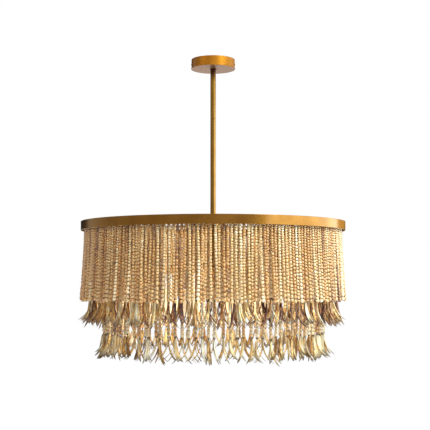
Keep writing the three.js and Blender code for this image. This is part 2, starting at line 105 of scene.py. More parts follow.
def noise(tree, scale, detail=2, stretch=(1, 1, 1)):
    """The value of a noise texture over the object, of that scale and stretched along X, Y and Z."""
    place = add_node(tree, "Mapping", {"Vector": object_place(tree), "Scale": stretch})
    inputs = {"Vector": place.outputs["Vector"], "Scale": scale, "Detail": detail}
    return add_node(tree, "TexNoise", inputs).outputs["Fac"]


def ranged(tree, value, source=(0, 1), result=(0, 1)):
    """A value carried from one range over to another, and held inside it."""
    ends = {"From Min": source[0], "From Max": source[1], "To Min": result[0], "To Max": result[1]}
    return add_node(tree, "MapRange", {"Value": value, **ends}).outputs["Result"]


def ramp(tree, value, stops):
    """The colour that a ramp of stops (place, (red, green, blue)) has at a value."""
    node = add_node(tree, "ValToRGB", {"Fac": value})
    elements = node.color_ramp.elements
    while len(elements) < len(stops):
        elements.new(1)
    for element, (place, colour) in zip(elements, stops):
        element.position = place
        element.color = (*colour, 1)
    return node.outputs["Color"]


def bumped(tree, height, strength, depth):
    """A normal that shows heights as relief of that strength and depth."""
    inputs = {"Height": height, "Strength": strength, "Distance": depth}
    return add_node(tree, "Bump", inputs).outputs["Normal"]


def metal_material(name, dark, light, roughness, grain, relief, lacquer=0.0, edge=(1, 1, 1)):
    """Metal whose colour drifts between two tones in soft clouds, with fine brushing stretched by
    grain, under a clear lacquer of that weight. A glancing look shows it tinted by edge."""
    material, tree, shader = new_material(name, light, roughness)
    clouds = noise(tree, scale=22, detail=4)
    lines = noise(tree, scale=1, detail=3, stretch=grain)
    put_in(
        shader,
        {
            "Metallic": 1,
            "Base Color": ramp(tree, clouds, [(0.35, dark), (0.68, light)]),
            "Roughness": ranged(tree, lines, result=(roughness * 0.8, roughness * 1.25)),
            "Normal": bumped(tree, lines, strength=relief, depth=0.0004),
            "Specular Tint": (*edge, 1),
            "Coat Weight": lacquer,
            "Coat Roughness": 0.1,
        },
    )
    return material


def finish_nodes(material, *names):
    """Gives that material to CAD nodes that stay as they are."""
    for name in names:
        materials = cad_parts[name].data.materials
        materials.clear()
        materials.append(material)


zinc = metal_material(
    "zinc_plating", (0.42, 0.44, 0.43), (0.62, 0.63, 0.6), roughness=0.4, grain=(60, 60, 60), relief=0.1
)
ground_green = metal_material(
    "green_dye", (0.03, 0.19, 0.06), (0.07, 0.32, 0.12), roughness=0.4, grain=(90, 90, 90), relief=0.1
)
finish_nodes(zinc, "ceiling_crossbar", "swivel_nipple", "nipple_locknut")
finish_nodes(zinc, "swivel_yoke", "swivel_pivot_pin")
finish_nodes(ground_green, "ground_screw")

# Canopy
# A low round cup, spun from brass sheet, with a fine rolled lip round its lower edge. Its side is
# satin. Its underside is painted paler, a painted reflection of the floor, and its inside is painted
# dark as shade. Two low screws in its side hold it on the crossbar.
MERGE_DISTANCE = 1e-7
EMPTY_EDGE = 1e-8


def grid_quads(rows, columns, ring=False):
    """Corner numbers of the quads of a grid. Each row closes round on itself, and with ring the last
    row meets the first."""
    upper = np.arange(rows if ring else rows - 1)[:, None]
    column = np.arange(columns)[None, :]
    following = (column + 1) % columns
    above = (upper + 1) % rows
    corners = (upper * columns + column, upper * columns + following)
    tops = (above * columns + following, above * columns + column)
    return np.stack([*corners, *tops], axis=-1).reshape(-1, 4)


def new_piece(name, points, faces, material, body="chandelier"):
    """A mesh piece from an array of points and arrays of faces, one face to a row, riding on a body."""
    points = np.asarray(points, np.float32).reshape(-1, 3)
    faces = [np.asarray(block, np.int32) for block in faces]
    corners = np.concatenate([block.ravel() for block in faces])
    sizes = np.concatenate([np.full(len(block), block.shape[1]) for block in faces])
    mesh = bpy.data.meshes.new(name)
    mesh.vertices.add(len(points))
    mesh.vertices.foreach_set("co", points.ravel())
    mesh.loops.add(len(corners))
    mesh.loops.foreach_set("vertex_index", corners)
    mesh.polygons.add(len(sizes))
    starts = np.concatenate([[0], np.cumsum(sizes)[:-1]])
    mesh.polygons.foreach_set("loop_start", starts.astype(np.int32))
    mesh.update(calc_edges=True)
    mesh.shade_smooth()
    mesh.materials.append(material)
    piece = bpy.data.objects.new(name, mesh)
    bpy.context.scene.collection.objects.link(piece)
    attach(piece, body)
    return piece


def grid_piece(name, node, material, points, ring=False, sharp_degrees=40, body="chandelier"):
    """A piece that stands for a CAD node, from rows of points joined as grid_quads says. Doubled
    points at poles are merged, and edges that turn by more than sharp_degrees stay crisp."""
    piece = new_piece(name, points, [grid_quads(*points.shape[:2], ring)], material, body)
    work = bmesh.new()
    work.from_mesh(piece.data)
    bmesh.ops.remove_doubles(work, verts=work.verts, dist=MERGE_DISTANCE)
    bmesh.ops.dissolve_degenerate(work, edges=work.edges, dist=EMPTY_EDGE)
    work.to_mesh(piece.data)
    work.free()
    piece.data.shade_smooth()
    piece.data.set_sharp_from_angle(angle=math.radians(sharp_degrees))
    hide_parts(node)


def eased(corners, ease, steps=4, closed=True):
    """A profile whose corners are rounded: each becomes a quadratic curve that starts and ends at
    most ease away, and at most half way to the next corner. A point on either side of the curve
    keeps the shading of the straight parts flat."""
    corners = np.asarray(corners, float)

    def beside(neighbour, reach):
        """Points on the way from each corner to a neighbour, which np.roll finds."""
        way = np.roll(corners, neighbour, axis=0) - corners
        length = np.linalg.norm(way, axis=1, keepdims=True)
        return (corners + way / length * np.minimum(reach, length / 2))[:, None]

    t = np.linspace(0, 1, steps)[None, :, None]
    curve = (1 - t) ** 2 * beside(1, ease) + 2 * t * (1 - t) * corners[:, None] + t**2 * beside(-1, ease)
    curve = np.concatenate([beside(1, 1.5 * ease), curve, beside(-1, 1.5 * ease)], axis=1)
    if not closed:
        curve[0] = corners[0]
        curve[-1] = corners[-1]
    return curve.reshape(-1, 2)


def turned_points(profile, sides):
    """A profile of (radius, height) turned about the Z axis: radius times the cosine and the sine of
    the turn, and the height as it is."""
    turn = np.linspace(0, 2 * np.pi, sides, endpoint=False)
    radius = profile[:, :1]
    height = np.broadcast_to(profile[:, 1:], (len(profile), sides))
    return np.stack([radius * np.cos(turn), radius * np.sin(turn), height], axis=-1)


def turned_piece(name, node, material, corners, ease, sides, ring=True, place=(0, 0, 0), body="chandelier"):
    """A turned piece. ring says that its profile closes on itself, and otherwise it starts and ends
    on the axis."""
    points = turned_points(eased(corners, ease, closed=ring), sides) + place
    grid_piece(name, node, material, points, ring, body=body)


def mixed_colour(tree, share, first, second):
    """The first colour where share is 0 and the second where it is 1, and a mix between."""
    inputs = {0: share, 6: first, 7: (*second, 1)}
    return add_node(tree, "Mix", inputs, data_type="RGBA").outputs[2]


def tone_where(material, measured, ends, colour):
    """Gives the material another tone by its height, measured "Z", or its distance from the Z axis,
    measured "reach": none at the first of the two ends, all at the second."""
    tree = material.node_tree
    shader = tree.nodes["Principled BSDF"]
    apart = add_node(tree, "SeparateXYZ", {"Vector": object_place(tree)}).outputs
    measure = apart["Z"]
    if measured == "reach":
        level = add_node(tree, "CombineXYZ", {"X": apart["X"], "Y": apart["Y"]}).outputs["Vector"]
        measure = add_node(tree, "VectorMath", {0: level}, operation="LENGTH").outputs["Value"]
    before = shader.inputs["Base Color"].links[0].from_socket
    share = ranged(tree, measure, ends)
    put_in(shader, {"Base Color": mixed_colour(tree, share, before, colour)})


canopy_brass = metal_material(
    "canopy_brass",
    (0.235, 0.088, 0.006),
    (0.27, 0.109, 0.010),
    roughness=0.42,
    grain=(4, 4, 1400),
    relief=0.01,
    lacquer=0.05,
)
# Painted reflection: the underside's paler tone stands for the floor mirrored in it.
UNDERSIDE_PAINTED_REFLECTION = (0.29, 0.15, 0.07)
# Painted shade: the inside of the cup is coloured nearly black, as shade.
INSIDE_PAINTED_SHADE = (0.035, 0.02, 0.008)
TONE_EDGE = 0.0001
CANOPY_WALL = 0.0012
CANOPY_LIP = 0.0011
CANOPY_LIP_HEIGHT = 0.0016
CANOPY_HOLE = 0.0102
CANOPY_EASE = 0.0006
CANOPY_SIDES = 128
canopy_low, canopy_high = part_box("canopy_cover")
canopy_rim = canopy_high[0]
canopy_side = canopy_rim - CANOPY_LIP
canopy_floor = canopy_low[2]
inside = canopy_side - CANOPY_WALL / 2
tone_where(canopy_brass, "reach", (inside, inside - TONE_EDGE), INSIDE_PAINTED_SHADE)
tone_where(canopy_brass, "Z", (canopy_floor + 2 * TONE_EDGE, canopy_floor + TONE_EDGE), UNDERSIDE_PAINTED_REFLECTION)
turned_piece(
    "canopy_shell",
    "canopy_cover",
    canopy_brass,
    [
        (CANOPY_HOLE, canopy_floor),
        (canopy_rim, canopy_floor),
        (canopy_rim, canopy_floor + CANOPY_LIP_HEIGHT),
        (canopy_side, canopy_floor + CANOPY_LIP_HEIGHT + CANOPY_LIP),
        (canopy_side, canopy_high[2]),
        (canopy_side - CANOPY_WALL, canopy_high[2]),
        (canopy_side - CANOPY_WALL, canopy_floor + CANOPY_WALL),
        (CANOPY_HOLE, canopy_floor + CANOPY_WALL),
    ],
    CANOPY_EASE,
    CANOPY_SIDES,
    body="ceiling_mount",
)
screw_brass = metal_material(
    "screw_brass", (0.25, 0.096, 0.007), (0.29, 0.12, 0.012), roughness=0.42, grain=(90, 90, 90), relief=0.04
)
finish_nodes(screw_brass, "canopy_screw_left", "canopy_screw_right")

# Rods
# Two lengths of brass tube, brushed along their length, with the canopy's shadow painted dark on
# their top, screwed together on a hidden plated coupling. The joint shows as a fine dark line.
rod_brass = metal_material(
    "rod_brass",
    (0.165, 0.079, 0.008),
    (0.19, 0.093, 0.012),
    roughness=0.26,
    grain=(900, 900, 6),
    relief=0.01,
    lacquer=0.2,
)
# Painted shade: the rod's top is darkened as if in the canopy's shadow.
ROD_PAINTED_SHADE = (0.055, 0.018, 0.004)
ROD_PAINTED_SHADE_FADE = (-0.068, -0.038)
ROD_WALL = 0.0015
ROD_EDGE = 0.0004
ROD_SIDES = 48


def tube_piece(name, node, material, wall, ease, sides):
    """A straight tube round the Z axis, as wide and high as the node that it stands for."""
    low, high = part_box(node)
    bore = high[0] - wall
    corners = [(bore, low[2]), (high[0], low[2]), (high[0], high[2]), (bore, high[2])]
    turned_piece(name, node, material, corners, ease, sides)


# Paints the canopy's shadow onto the top of the rod.
tone_where(rod_brass, "Z", ROD_PAINTED_SHADE_FADE, ROD_PAINTED_SHADE)
finish_nodes(rod_brass, "swivel_knuckle")
finish_nodes(zinc, "rod_coupling")
for rod in ("rod_upper", "rod_lower"):
    tube_piece(rod + "_tube", rod, rod_brass, ROD_WALL, ROD_EDGE, ROD_SIDES)

# Drum frame
# A turned brass hub under the rod, four flat arms screwed into it, and a thin band rolled from
# brass strip round their ends.
band_brass = metal_material(
    "band_brass",
    (0.16, 0.064, 0.004),
    (0.205, 0.089, 0.009),
    roughness=0.26,
    grain=(30, 30, 900),
    relief=0.02,
    lacquer=0.22,
    edge=(1.0, 0.92, 0.74),
)
BAND_WALL = 0.002
BAND_EDGE = 0.0005
BAND_SIDES = 256
drum_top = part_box("drum_band")[1][2]
tube_piece("band_hoop", "drum_band", band_brass, BAND_WALL, BAND_EDGE, BAND_SIDES)
HUB_COLLAR_RADIUS = 0.013
HUB_COLLAR_HEIGHT = 0.004
HUB_EASE = 0.0035
HUB_HEIGHT = 0.026
HUB_SIDES = 64
hub_low, hub_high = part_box("drum_hub")
hub_top = hub_low[2] + HUB_HEIGHT
turned_piece(
    "hub_turning",
    "drum_hub",
    band_brass,
    [
        (0, hub_low[2]),
        (hub_high[0], hub_low[2]),
        (hub_high[0], hub_top - HUB_COLLAR_HEIGHT),
        (HUB_COLLAR_RADIUS, hub_top - HUB_COLLAR_HEIGHT),
        (HUB_COLLAR_RADIUS, hub_top),
        (0, hub_top),
    ],
    HUB_EASE,
    HUB_SIDES,
    ring=False,
)
QUARTERS = 4
ARM_EDGE = 0.0012


def bar_points(length_range, half_width, half_height, edge, steps=4):
    """A flat bar along X with rounded long edges: the section is a rectangle whose corners are
    quarter circles, carried from the bar's start to its end, with a smaller section at each end."""
    corner = np.repeat(np.arange(4), steps)
    turn = np.pi / 2 * (corner + np.tile(np.linspace(0, 1, steps), 4))
    across_centre = np.where((corner == 0) | (corner == 3), 1, -1) * (half_width - edge)
    up_centre = np.where(corner < 2, 1, -1) * (half_height - edge)
    start, end = length_range
    along = np.array([start, start, start + edge, end - edge, end, end])[:, None]
    small = 1 - edge / half_height
    shrink = np.array([0, small, 1, 1, small, 0])[:, None]
    across = (across_centre + edge * np.cos(turn)) * shrink
    up = (up_centre + edge * np.sin(turn)) * shrink
    return np.stack([np.broadcast_to(along, across.shape), across, up], axis=-1)


def turned_by(points, angle):
    """Points turned about the Z axis by an angle, or each by its own."""
    cosine = np.cos(angle)
    sine = np.sin(angle)
    x = points[..., 0] * cosine - points[..., 1] * sine
    y = points[..., 0] * sine + points[..., 1] * cosine
    return np.stack([x, y, np.broadcast_to(points[..., 2], x.shape)], axis=-1)


arm_low, arm_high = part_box("drum_arm_1")
arm_bar = bar_points((arm_low[0], arm_high[0]), arm_high[1], (arm_high[2] - arm_low[2]) / 2, ARM_EDGE)
arm_bar[..., 2] += (arm_high[2] + arm_low[2]) / 2
for quarter in range(QUARTERS):
    points = turned_by(arm_bar[:, ::-1], quarter * np.pi / 2)
    number = quarter + 1
    grid_piece(f"arm_bar_{number}", f"drum_arm_{number}", band_brass, points, sharp_degrees=60)

# Carrier strips
# Flat brass strips bent to a quarter circle and screwed up under the arms, in three rings. Every
# strand is knotted through a small hole in one of them.
CARRIER_HALF_WIDTH = 0.007
CARRIER_THICKNESS = 0.003
CARRIER_EDGE = 0.0006
CARRIER_GAP = 0.0003
CARRIER_STEPS = 33
carrier_top = arm_low[2] - CARRIER_GAP
carrier_underside = carrier_top - CARRIER_THICKNESS


def carrier_strip(name, node, quarter, radius):
    """A quarter ring of strip: its rounded section is carried along an arc of that radius, from one
    arm's middle to the next, and closed at both ends."""
    half_size = np.array([CARRIER_HALF_WIDTH, CARRIER_THICKNESS / 2])
    section = eased(half_size * [(-1, -1), (1, -1), (1, 1), (-1, 1)], CARRIER_EDGE, steps=3)
    trim = CARRIER_GAP / 2 / radius
    turn = np.linspace(trim, np.pi / 2 - trim, CARRIER_STEPS) + quarter * np.pi / 2
    turn = np.concatenate([turn[:1], turn, turn[-1:]])[:, None]
    size = np.concatenate([[0], np.ones(CARRIER_STEPS), [0]])[:, None]
    reach = radius + section[None, :, 0] * size
    height = (carrier_underside + carrier_top) / 2 + section[None, :, 1] * size
    points = np.stack([reach * np.cos(turn), reach * np.sin(turn), height], axis=-1)
    grid_piece(name, node, band_brass, points, sharp_degrees=50)


# Outer bead curtain
# Strands of small turned wooden beads, polished, in tans that differ from strand to strand. They
# are threaded on cord whose dark colour is painted shade between the beads, and grow from flat
# discs at the top to round beads at the end.
OUTER_STRANDS = 216
OUTER_RADIUS = 0.368
OUTER_LEAN = 0.0084
OUTER_DROP = 0.225
OUTER_BEADS = 26
OUTER_BEAD_RADII = (0.0039, 0.0046)
OUTER_BEAD_FORM = (4, 9, 0.95, 0.06)
ANGLE_SPREAD_SHARE = 0.07
END_SPREAD = 0.0023
SWAY_ALONG = 0.0019
SWAY_OUT = 0.0021
WAVE = 0.0005
STRAND_TONES = (0.12, 0.88)
TONE_DRIFT = 0.14
BEAD_TONE_SPREAD = 0.08
BEAD_GROWTH = (0.5, 2.0)
TOP_SIZES = (0.65, 1.5)
TOP_BEAD_PITCH = 0.0056
BOTTOM_BEAD_PITCH = 0.0100
TOP_FULLNESS = 0.45
END_LATITUDE = math.radians(68)
BEAD_PITCH_SPREAD = 0.13
BEAD_RADIUS_SPREAD = 0.045
CORD_RADIUS = 0.0006
CORD_SIDES = 3
CORD_STEPS = 7
CORD_INSET = 0.002
# Painted shade: the dark tone at each bead's drilled ends stands for the shade between beads.
BEAD_END_PAINTED_SHADE = (0.12, 0.05, 0.02)


def capped_faces(rings, sides, copies):
    """Triangles and quads of closed forms that have a pole point, then rings of points, then a pole,
    one form after another."""
    column = np.arange(sides)
    following = (column + 1) % sides
    first = np.stack([np.zeros(sides, int), 1 + following, 1 + column], axis=-1)
    last_ring = 1 + (rings - 1) * sides
    last = np.stack([np.full(sides, last_ring + sides), last_ring + column, last_ring + following], axis=-1)
    triangles = np.concatenate([first, last])
    quads = grid_quads(rings, sides) + 1
    step = (np.arange(copies) * (rings * sides + 2))[:, None, None]
    return [(triangles + step).reshape(-1, 3), (quads + step).reshape(-1, 4)]


def add_values(piece, name, values):
    """Gives every point of a piece one number that its material can read by that name."""
    layer = piece.data.attributes.new(name, "FLOAT", "POINT")
    layer.data.foreach_set("value", np.asarray(values, np.float32).ravel())


def bead_form(rings, sides):
    """A sphere's points, its poles first and last, one high and with radius 1, its rings spaced
    evenly up to END_LATITUDE. With them come the cosine of each point's latitude, which counts as 1
    at the poles, and the size of its sine."""
    latitude = np.linspace(-END_LATITUDE, END_LATITUDE, rings)[:, None]
    ring = turned_points(np.concatenate([np.cos(latitude), np.sin(latitude) / 2], axis=1), sides)
    points = np.concatenate([[[0, 0, -0.5]], ring.reshape(-1, 3), [[0, 0, 0.5]]])
    cosine = np.repeat(np.cos(latitude), sides)
    return points, np.concatenate([[1], cosine, [1]]), np.abs(2 * points[:, 2])


def strand_places(strands, radius, lean, drop, seed):
    """Where the strands of a ring hang: the angle of each, how far its end sways along the ring and
    away from the axis, its wave, how much bare cord it starts with, how its beads grow and how tall
    the first is against the others' first, its tone from 0 to 1, and how that drifts down it."""
    random = np.random.default_rng(seed)
    step = 2 * np.pi / strands
    return {
        "radius": radius,
        "lean": lean,
        "end": drum_top - drop + random.normal(0, END_SPREAD, strands),
        "angle": step * (np.arange(strands) + 0.5 + random.normal(0, ANGLE_SPREAD_SHARE, strands)),
        "along": random.normal(0, SWAY_ALONG, strands),
        "out": random.normal(0, SWAY_OUT, strands),
        "wave": random.normal(0, WAVE, strands),
        "phase": random.uniform(0, 2 * np.pi, strands),
        "bare": random.uniform(0, TOP_BEAD_PITCH / 2, strands),
        "growth": random.uniform(*BEAD_GROWTH, strands),
        "top_size": random.uniform(*TOP_SIZES, strands),
        "tone": random.uniform(*STRAND_TONES, strands),
        "drift": random.normal(0, TONE_DRIFT, strands),
    }


def quarter_places(places, quarter):
    """The places of one quarter's strands, each list of values as a column, one strand to a row."""
    return {
        key: value if np.isscalar(value) else np.split(value, QUARTERS)[quarter][:, None]
        for key, value in places.items()
    }


def strand_points(places, height):
    """Points on the strands' middle lines at those heights, one strand to a row. With s from 0 at
    the top to 1 at the end, a strand leans out by s ** 1.5, sways along the ring by s and waves along
    it by sin(2 pi s)."""
    share = (carrier_underside - height) / (carrier_underside - places["end"])
    reach = places["radius"] + (places["lean"] + places["out"]) * share.clip(0) ** 1.5
    along = places["along"] * share + places["wave"] * np.sin(2 * np.pi * share + places["phase"])
    return turned_by(np.stack([reach, along, height], axis=-1), places["angle"])


def hang_beads(name, node, places, beads, radii, form, seed):
    """The beads of one quarter of a ring. With t from 0 to 1 down a strand, their heights run from
    the top pitch to the bottom pitch by t ** growth and their radii evenly, and each differs a
    little from its neighbours. A bead's radius at a latitude is its cosine to the power of a
    fullness that runs evenly from TOP_FULLNESS, a flat disc, to a rounder one at the end. The cord
    shows between the beads, for none of the pitch at the top and for a share of gap at the end."""
    random = np.random.default_rng(seed)
    along = np.linspace(0, 1, beads)[None, :]
    top_pitch = TOP_BEAD_PITCH * places["top_size"]
    grown = top_pitch + (BOTTOM_BEAD_PITCH - top_pitch) * along ** places["growth"]
    pitch = grown * random.normal(1, BEAD_PITCH_SPREAD, grown.shape)
    run = carrier_underside - places["bare"] - places["end"]
    tall = pitch * run / pitch.sum(axis=1, keepdims=True)
    centre_height = places["end"] + np.cumsum(tall[:, ::-1], axis=1)[:, ::-1] - tall / 2
    centres = strand_points(places, centre_height)
    wide = np.linspace(*radii, beads)[None, :] * random.normal(1, BEAD_RADIUS_SPREAD, tall.shape)
    rings, sides, end_fullness, gap = form
    unit, cosine, sine = bead_form(rings, sides)
    spin = turned_by(unit[None, None], random.uniform(0, np.pi, tall.shape)[..., None])
    fullness = TOP_FULLNESS + (end_fullness - TOP_FULLNESS) * along[..., None]
    reach = wide[..., None] * cosine ** (fullness - 1)
    height = np.broadcast_to(tall[..., None] * (1 - gap * along[..., None]), reach.shape)
    points = centres[:, :, None, :] + spin * np.stack([reach, reach, height], axis=-1)
    piece = new_piece(name, points, capped_faces(rings, sides, tall.size), bead_wood)
    tone = places["tone"] + places["drift"] * (2 * along - 1)
    tone = tone + random.normal(0, BEAD_TONE_SPREAD, tall.shape)
    add_values(piece, "tone", np.repeat(tone.ravel(), len(unit)))
    add_values(piece, "end", np.tile(sine, tall.size))
    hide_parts(node)


def level_vector(angle):
    """The level vector of length 1 that points that way."""
    return np.stack([np.cos(angle), np.sin(angle), np.zeros_like(angle)], axis=-1)


def hang_cords(name, places):
    """The cords that carry one quarter's beads, three-sided, from inside the carrier to the ends."""
    start = carrier_underside + CARRIER_THICKNESS / 2
    height = start + (places["end"] + CORD_INSET - start) * np.linspace(0, 1, CORD_STEPS)
    line = strand_points(places, height)[:, ::-1]
    section = CORD_RADIUS * level_vector(np.arange(CORD_SIDES) * 2 * np.pi / CORD_SIDES)
    rings = (line[:, :, None, :] + section).reshape(len(line), -1, 3)
    points = np.concatenate([line[:, :1], rings, line[:, -1:]], axis=1)
    new_piece(name, points, capped_faces(CORD_STEPS, CORD_SIDES, len(line)), shaded_bead_cord)


def hang_curtain(ring, node, quarter, places, beads, radii, form, seed):
    """One quarter of a ring of strands, with its carrier, its cords and its beads."""
    number = quarter + 1
    carrier_strip(f"{ring}_carrier_{number}", node, quarter, places["radius"])
    hang_cords(f"{ring}_cords_{number}", places)
    hang_beads(f"{ring}_beads_{number}", node, places, beads, radii, form, seed + quarter)


def attribute(tree, name):
    """A number that each point of the piece carries."""
    return add_node(tree, "Attribute", attribute_name=name).outputs["Fac"]


def arithmetic(tree, operation, *values):
    """The result of a Math node."""
    return add_node(tree, "Math", dict(enumerate(values)), operation=operation).outputs["Value"]


def own_tone(tree, grain, reach):
    """The tone of each bead or sliver, which drifts along its grain by reach from end to end."""
    drift = arithmetic(tree, "MULTIPLY_ADD", grain, reach, -reach / 2)
    return arithmetic(tree, "ADD", attribute(tree, "tone"), drift)


def wood_material(name, stops):
    """Wood under a clear polish, whose colour follows each bead's tone, with a fine grain and pores,
    and with shade painted dark round the drilled ends, where the beads meet."""
    material, tree, shader = new_material(name, stops[0][1], 0.3)
    tone = own_tone(tree, noise(tree, scale=520, detail=3), 0.5)
    # Painted shade darkens each bead towards its drilled ends.
    painted_end_shade = ranged(tree, attribute(tree, "end"), (0.7, 1.0), (0, 0.8))
    pores = noise(tree, scale=1800)
    put_in(
        shader,
        {
            "Base Color": mixed_colour(tree, painted_end_shade, ramp(tree, tone, stops), BEAD_END_PAINTED_SHADE),
            "Normal": bumped(tree, pores, strength=0.15, depth=0.0002),
            "Coat Weight": 0.35,
            "Coat Roughness": 0.18,
        },
    )
    return material


bead_wood = wood_material(
    "bead_wood",
    [
        (0.0, (0.21, 0.086, 0.026)),
        (0.14, (0.38, 0.175, 0.048)),
        (0.30, (0.62, 0.31, 0.08)),
        (0.46, (0.60, 0.345, 0.125)),
        (0.60, (0.75, 0.475, 0.165)),
        (0.74, (0.62, 0.40, 0.18)),
        (0.9, (0.83, 0.60, 0.28)),
        (1.0, (0.88, 0.73, 0.46)),
    ],
)
# The cord is real; its dark brown is painted shade that darkens the gaps between the beads.
shaded_bead_cord, cord_tree, cord_shader = new_material("shaded_bead_cord", (0.16, 0.08, 0.035), 0.8)
cord_twist = add_node(cord_tree, "TexWave", {"Vector": object_place(cord_tree), "Scale": 700})
cord_shade_tones = [(0.0, (0.10, 0.045, 0.018)), (1.0, (0.22, 0.12, 0.055))]
put_in(cord_shader, {"Base Color": ramp(cord_tree, cord_twist.outputs["Fac"], cord_shade_tones)})

outer_places = strand_places(OUTER_STRANDS, OUTER_RADIUS, OUTER_LEAN, OUTER_DROP, seed=11)
for quarter in range(QUARTERS):
    hang_curtain(
        "outer",
        f"outer_bead_curtain_{quarter + 1}",
        quarter,
        quarter_places(outer_places, quarter),
        OUTER_BEADS,
        OUTER_BEAD_RADII,
        OUTER_BEAD_FORM,
        seed=101,
    )

# Middle fringe curtain
# A second ring of strands behind the first. Each ends in a small wire ring that carries two pointed
# slivers of polished husk, split lengthwise in two blades. They curl away from each other.
MIDDLE_STRANDS = 180
MIDDLE_RADIUS = 0.351
MIDDLE_DROP = 0.217
MIDDLE_BEADS = 26
MIDDLE_TURN_SPREAD = 1.2
MIDDLE_BLADE = (0.072, 0.0071)
FRINGE_BEAD_RADII = (0.0042, 0.0050)
FRINGE_BEAD_FORM = (3, 8, 0.3, 0)
RING_RADIUS = 0.0025
RING_WIRE = 0.0013
RING_INSET = 0.001
RING_STEPS = 12
RING_SIDES = 4
BLADES = 4
BLADE_RINGS = 8
BLADE_SIDES = 6
BLADE_THICKNESS = 0.0028
BLADE_CAMBER = 0.16
BLADE_START = 0.0012
CURL = math.radians(50)
CURL_LIMITS = (0.3, 1.05)
CURL_SPREADS = (0.22, 0.09)
TURN_SPREADS = (0.16, 0.08)
BLADE_TONE = 0.47
BLADE_TONE_SPREADS = (0.33, 0.1)
LENGTH_SPREAD = 0.08
LENGTH_LIMITS = (0.84, 1.12)
WIDTH_MEAN = 1.02
WIDTH_SPREAD = 0.28
WIDTH_LIMITS = (0.62, 1.8)
WIDEST_OUTLINE_SHARE = 0.62
THICKEST_SHARE = 0.8
OUTWARD_LIFT = 0.008
LIFT_SPREAD = 0.5
FAN = 0.0029
START_LEAN = -0.06
START_SPREAD = 0.07
TWIST_SPREAD = 0.3


def hang_rings(name, places):
    """One wire ring under each strand of a quarter, upright and square to the slivers' heading: a
    circle of radius RING_WIRE carried round one of radius RING_RADIUS."""
    knot = strand_points(places, places["end"])[:, 0]
    knot[:, 2] -= RING_RADIUS - RING_INSET
    round_turn = np.linspace(0, 2 * np.pi, RING_STEPS, endpoint=False)[:, None]
    wire_turn = np.linspace(0, 2 * np.pi, RING_SIDES, endpoint=False)[None, :]
    reach = RING_RADIUS + RING_WIRE * np.cos(wire_turn)
    across = reach * np.cos(round_turn)
    wire = np.broadcast_to(RING_WIRE * np.sin(wire_turn), across.shape)
    form = np.stack([wire, across, reach * np.sin(round_turn)], axis=-1)
    turned = turned_by(form[None], (places["angle"] + places["heading"])[..., None])
    step = (np.arange(len(knot)) * RING_STEPS * RING_SIDES)[:, None, None]
    faces = grid_quads(RING_STEPS, RING_SIDES, ring=True) + step
    new_piece(name, knot[:, None, None, :] + turned, [faces.reshape(-1, 4)], ring_wire)


